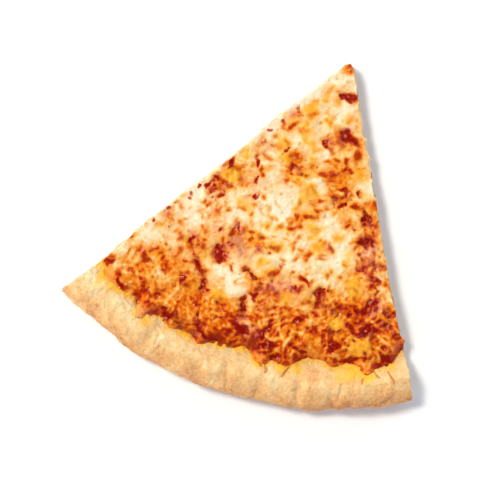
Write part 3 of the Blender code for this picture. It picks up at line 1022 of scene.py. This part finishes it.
def make_herbs():
    """Tiny dark flecks of dried herb, baked into the cheese."""
    mesh = bmesh.new()
    for _ in range(HERB_FLECKS):
        r = math.sqrt(RNG.uniform(0.03, 0.9)) * HERBS_TO
        v = RNG.uniform(-0.9, 0.9)
        ra, va = np.array([r]), np.array([v])
        x, y = place(ra, va)
        z = cheese_top(ra, va, x, y)[0]
        size = RNG.uniform(0.16, 0.30) * MM
        made = bmesh.ops.create_icosphere(mesh, subdivisions=1, radius=1.0)
        turn = Matrix.Rotation(RNG.uniform(0.0, math.pi), 4, "Z")
        stretch = Matrix.Diagonal((size, size * RNG.uniform(0.4, 0.8), 0.12 * MM, 1.0))
        shift = Matrix.Translation((x[0], y[0], z + 0.02 * MM))
        bmesh.ops.transform(mesh, matrix=shift @ turn @ stretch, verts=made["verts"])
    return object_from(bpy.data.meshes.new("herb_flecks"), mesh)


# ---- Materials ----

WARM_GLOSS = (1.0, 0.82, 0.58, 1.0)
CLEAR_CHEESE = (0.79, 0.73, 0.48)
JUICY_CHEESE = (0.87, 0.60, 0.44)
GOLDEN_CHEESE = (0.88, 0.45, 0.035)
BURNT_TOMATO = (0.13, 0.001, 0.0003)
ORANGE_OIL = (0.94, 0.50, 0.020)


def start_material(name):
    material = bpy.data.materials.new(name)
    material.use_nodes = True
    tree = material.node_tree
    return material, tree, tree.nodes["Principled BSDF"]


def fill(node, values):
    for name, value in values.items():
        node.inputs[name].default_value = value


def attribute(tree, name):
    node = tree.nodes.new("ShaderNodeAttribute")
    node.attribute_name = name
    return node.outputs["Fac"]


def noise_of(tree, scale, detail):
    own_space = tree.nodes.new("ShaderNodeTexCoord")
    node = tree.nodes.new("ShaderNodeTexNoise")
    fill(node, {"Scale": scale, "Detail": detail, "Roughness": 0.55})
    tree.links.new(own_space.outputs["Object"], node.inputs["Vector"])
    return node.outputs["Fac"]


def ramp(tree, source, stops):
    node = tree.nodes.new("ShaderNodeValToRGB")
    elements = node.color_ramp.elements
    while len(elements) < len(stops):
        elements.new(0.5)
    for element, (position, colour) in zip(elements, stops):
        element.position = position
        element.color = (*colour, 1.0)
    tree.links.new(source, node.inputs["Fac"])
    return node.outputs["Color"]


def grey(value):
    return (value, value, value)


def maths(tree, operation, first, second, clamp=False):
    node = tree.nodes.new("ShaderNodeMath")
    node.operation = operation
    node.use_clamp = clamp
    for socket, value in zip(node.inputs, (first, second)):
        if isinstance(value, (int, float)):
            socket.default_value = value
        else:
            tree.links.new(value, socket)
    return node.outputs[0]


def centred(tree, source, amount):
    """source, which runs from 0 to 1, as a swing of amount about 0."""
    swing = maths(tree, "MULTIPLY_ADD", source, amount)
    swing.node.inputs[2].default_value = -0.5 * amount
    return swing


def mix(tree, share, first, second):
    node = tree.nodes.new("ShaderNodeMix")
    node.data_type = "RGBA"
    tree.links.new(share, node.inputs["Factor"])
    for socket, value in ((node.inputs["A"], first), (node.inputs["B"], second)):
        if isinstance(value, tuple):
            socket.default_value = (*value, 1.0)
        else:
            tree.links.new(value, socket)
    return node.outputs["Result"]


def bump(tree, shader, source, strength, distance):
    node = tree.nodes.new("ShaderNodeBump")
    fill(node, {"Strength": strength, "Distance": distance})
    tree.links.new(source, node.inputs["Height"])
    tree.links.new(node.outputs["Normal"], shader.inputs["Normal"])


def scatter(shader, weight, scale, radius):
    fill(shader, {"Subsurface Weight": weight, "Subsurface Scale": scale, "Subsurface Radius": radius})


def cheese_material():
    material, tree, shader = start_material("melted_cheese_look")
    fine = noise_of(tree, 900.0, 4.0)
    grit = centred(tree, noise_of(tree, 2000.0, 2.0), 0.26)
    speckle = maths(tree, "ADD", centred(tree, fine, 0.36), grit)
    brown = maths(tree, "ADD", attribute(tree, "brown"), speckle, True)
    soft = ramp(tree, brown, (
        (0.00, (0.84, 0.73, 0.52)),
        (0.10, (0.83, 0.63, 0.38)),
        (0.20, (0.81, 0.50, 0.22)),
        (0.32, (0.77, 0.36, 0.080)),
        (0.46, (0.70, 0.22, 0.018)),
        (0.60, (0.58, 0.112, 0.005)),
        (0.75, (0.41, 0.034, 0.0015)),
        (0.88, (0.27, 0.008, 0.0007)),
        (1.00, (0.15, 0.002, 0.0005)),
    ))
    crisp = ramp(tree, brown, (
        (0.00, (0.86, 0.57, 0.20)),
        (0.12, (0.84, 0.43, 0.080)),
        (0.25, (0.81, 0.30, 0.022)),
        (0.38, (0.75, 0.195, 0.005)),
        (0.52, (0.64, 0.103, 0.001)),
        (0.66, (0.47, 0.037, 0.0005)),
        (0.80, (0.32, 0.009, 0.0003)),
        (1.00, (0.15, 0.001, 0.0002)),
    ))
    colour = mix(tree, attribute(tree, "baked"), soft, crisp)
    colour = mix(tree, attribute(tree, "clear"), colour, CLEAR_CHEESE)
    colour = mix(tree, attribute(tree, "pink"), colour, JUICY_CHEESE)
    colour = mix(tree, attribute(tree, "gold"), colour, GOLDEN_CHEESE)
    red = maths(tree, "ADD", attribute(tree, "red"), speckle, True)
    sauce_share = ramp(tree, red, ((0.22, grey(0.0)), (0.60, grey(0.85)), (0.85, grey(1.0))))
    tomato = ramp(tree, red, (
        (0.25, (0.72, 0.18, 0.045)),
        (0.50, (0.55, 0.052, 0.008)),
        (0.75, (0.42, 0.012, 0.001)),
        (1.00, (0.30, 0.003, 0.0005)),
    ))
    burnt = maths(tree, "MULTIPLY", attribute(tree, "baked"), 0.45)
    tomato = mix(tree, burnt, tomato, BURNT_TOMATO)
    colour = mix(tree, sauce_share, colour, tomato)
    tree.links.new(colour, shader.inputs["Base Color"])
    wet = maths(tree, "MULTIPLY", attribute(tree, "oily"), fine)
    wet = maths(tree, "ADD", wet, maths(tree, "MULTIPLY", sauce_share, 0.22))
    rough = ramp(tree, wet, ((0.0, grey(0.46)), (0.5, grey(0.12))))
    tree.links.new(rough, shader.inputs["Roughness"])
    fill(shader, {"IOR": 1.42, "Specular IOR Level": 0.30, "Specular Tint": WARM_GLOSS})
    scatter(shader, 0.08, 0.8 * MM, (1.0, 0.5, 0.2))
    bump(tree, shader, fine, 0.55, 0.30 * MM)
    return material


def sauce_material():
    material, tree, shader = start_material("tomato_sauce_look")
    pulp = noise_of(tree, 700.0, 5.0)
    colour = ramp(tree, pulp, (
        (0.30, (0.17, 0.003, 0.001)),
        (0.50, (0.32, 0.008, 0.001)),
        (0.68, (0.50, 0.036, 0.004)),
    ))
    tree.links.new(colour, shader.inputs["Base Color"])
    rough = ramp(tree, pulp, ((0.3, grey(0.14)), (0.7, grey(0.32))))
    tree.links.new(rough, shader.inputs["Roughness"])
    fill(shader, {"IOR": 1.40, "Specular Tint": WARM_GLOSS})
    bump(tree, shader, pulp, 0.5, 0.35 * MM)
    return material


def crust_material():
    material, tree, shader = start_material("baked_crust_look")
    fine = noise_of(tree, 700.0, 5.0)
    # The toasting, with its painted shade near the floor, darkens the crust's colour.
    toast_and_shade = attribute(tree, "toast_and_shade")
    for scale, amount in ((110.0, 0.28), (330.0, 0.18), (900.0, 0.38), (2200.0, 0.60)):
        mottle = centred(tree, noise_of(tree, scale, 3.0), amount)
        toast_and_shade = maths(tree, "ADD", toast_and_shade, mottle, True)
    colour = ramp(tree, toast_and_shade, (
        (0.00, (0.86, 0.72, 0.41)),
        (0.22, (0.83, 0.59, 0.28)),
        (0.45, (0.80, 0.46, 0.18)),
        (0.70, (0.68, 0.32, 0.105)),
        (1.00, (0.44, 0.16, 0.04)),
    ))
    # The cut crumb's colour, darker where its fine bump dips: painted shade in the pores.
    inside = ramp(tree, fine, (
        (0.36, (0.52, 0.35, 0.18)),
        (0.47, (0.70, 0.54, 0.33)),
        (0.70, (0.78, 0.65, 0.45)),
    ))
    colour = mix(tree, attribute(tree, "crumb"), colour, inside)
    oil_share = ramp(tree, attribute(tree, "oil"), ((0.0, grey(0.0)), (0.85, grey(1.0))))
    colour = mix(tree, oil_share, colour, ORANGE_OIL)
    tree.links.new(colour, shader.inputs["Base Color"])
    rough = ramp(tree, attribute(tree, "oil"), ((0.0, grey(0.72)), (1.0, grey(0.36))))
    tree.links.new(rough, shader.inputs["Roughness"])
    scatter(shader, 0.12, 1.0 * MM, (1.0, 0.6, 0.3))
    bump(tree, shader, fine, 0.95, 1.15 * MM)
    return material


def small_material(name, low, high, roughness):
    material, tree, shader = start_material(name)
    source = noise_of(tree, 1500.0, 3.0)
    tree.links.new(ramp(tree, source, ((0.35, low), (0.65, high))), shader.inputs["Base Color"])
    tree.links.new(ramp(tree, source, ((0.3, grey(roughness)), (0.7, grey(roughness + 0.1)))),
              shader.inputs["Roughness"])
    return material


def floor_material():
    material, tree, shader = start_material("pale_floor")
    source = noise_of(tree, 6.0, 2.0)
    tree.links.new(ramp(tree, source, ((0.0, (0.90, 0.905, 0.93)), (1.0, (0.91, 0.915, 0.94)))),
              shader.inputs["Base Color"])
    fill(shader, {"Roughness": 0.9})
    return material


# ---- Stage ----

VIEW_TURN = math.radians(20.8)
VIEW_WIDTH = 215.43 * MM
VIEW_LEVEL = 8.0 * MM  # the height above the floor at which the view is that wide
VIEW_CENTRE = (APEX[0] - 11.7 * MM, APEX[1] - 92.7 * MM)
CAMERA_HEIGHT = 0.9
SENSOR = 36.0
CLIP_START = 0.01
CLIP_END = 20.0
LIGHT_PLACE = (-1.05, 0.75, 1.95)  # to the view's right and top, and up
LIGHT_SIZE = 0.62
LIGHT_POWER = 44.0
LIGHT_COLOUR = (1.06, 1.0, 0.88)
FLOOR_HALF = 3.0
SKY_STRENGTH = 2.10


def make_camera():
    data = bpy.data.cameras.new("camera")
    data.sensor_width = SENSOR
    data.lens = SENSOR * (CAMERA_HEIGHT - VIEW_LEVEL) / VIEW_WIDTH
    data.clip_start = CLIP_START
    data.clip_end = CLIP_END
    obj = add_to_scene("camera", data)
    obj.location = (*VIEW_CENTRE, CAMERA_HEIGHT)
    obj.rotation_euler = (0.0, 0.0, VIEW_TURN)
    bpy.context.scene.camera = obj


def make_light():
    """A square light over the slice."""
    data = bpy.data.lights.new("key", "AREA")
    data.size = LIGHT_SIZE
    data.energy = LIGHT_POWER
    data.color = LIGHT_COLOUR
    obj = add_to_scene("key", data)
    target = Vector((*VIEW_CENTRE, 0.0))
    obj.location = target + Matrix.Rotation(VIEW_TURN, 3, "Z") @ Vector(LIGHT_PLACE)
    obj.rotation_euler = (obj.location - target).to_track_quat("Z", "Y").to_euler()


def make_stage():
    mesh = bmesh.new()
    bmesh.ops.create_grid(mesh, x_segments=1, y_segments=1, size=FLOOR_HALF)
    data = bpy.data.meshes.new("floor")
    mesh.to_mesh(data)
    mesh.free()
    data.materials.append(floor_material())
    floor = add_to_scene("floor", data)
    world = bpy.data.worlds.new("soft_room")
    bpy.context.scene.world = world
    world.use_nodes = True
    tree = world.node_tree
    background = tree.nodes["Background"]
    direction = tree.nodes.new("ShaderNodeTexCoord")
    parts = tree.nodes.new("ShaderNodeSeparateXYZ")
    tree.links.new(direction.outputs["Generated"], parts.inputs["Vector"])
    sky = ramp(tree, parts.outputs["Z"], (
        (0.00, (0.94, 1.00, 1.10)),
        (0.35, (0.85, 0.90, 0.99)),
        (0.60, (0.13, 0.14, 0.155)),
        (1.00, (0.04, 0.04, 0.045)),
    ))
    tree.links.new(sky, background.inputs["Color"])
    fill(background, {"Strength": SKY_STRENGTH})
    bpy.context.scene.view_settings.view_transform = "Standard"


def dress(obj, material, node=None):
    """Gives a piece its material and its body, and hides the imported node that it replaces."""
    obj.data.materials.append(material)
    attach(obj, "root")
    if node:
        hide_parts(node)


def main():
    dress(make_crust(), crust_material(), "crust")
    dress(make_sauce(), sauce_material(), "sauce")
    dress(make_cheese(), cheese_material(), "cheese")
    string_look = small_material("browned_string_look", (0.46, 0.14, 0.012), (0.72, 0.30, 0.035), 0.4)
    dress(make_strings(), string_look)
    herb_look = small_material("herb_look", (0.16, 0.10, 0.02), (0.30, 0.20, 0.06), 0.6)
    dress(make_herbs(), herb_look)
    make_stage()
    make_light()
    make_camera()


main()
